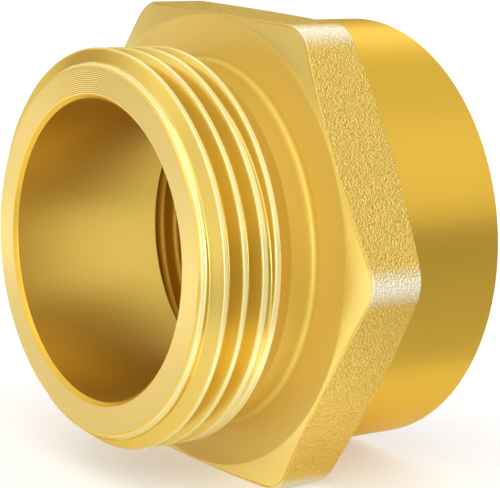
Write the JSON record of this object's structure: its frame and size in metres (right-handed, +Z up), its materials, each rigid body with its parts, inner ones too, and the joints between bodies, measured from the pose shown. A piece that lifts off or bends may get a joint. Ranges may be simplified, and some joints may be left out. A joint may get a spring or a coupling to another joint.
{
  "type": "hose thread adapter",
  "caption": "Brass hose adapter: short pipe with a coarse male hose thread, neck, wrench hexagon and a plain round end with a female pipe thread inside.",
  "frame": {"origin": "under the middle of the adapter's length, on the level hexagon flat that it rests on", "axes": "+X along the turning axis from the male face to the female rim, +Z up, +Y across two corners of the hexagon"},
  "size_m": [0.0428, 0.0666, 0.0589],
  "materials": {
    "brass": "turned bright, cast grain on the hexagon's flats"
  },
  "bodies": {
    "root": {"adapter_body": "brass"}
  },
  "joints": []
}
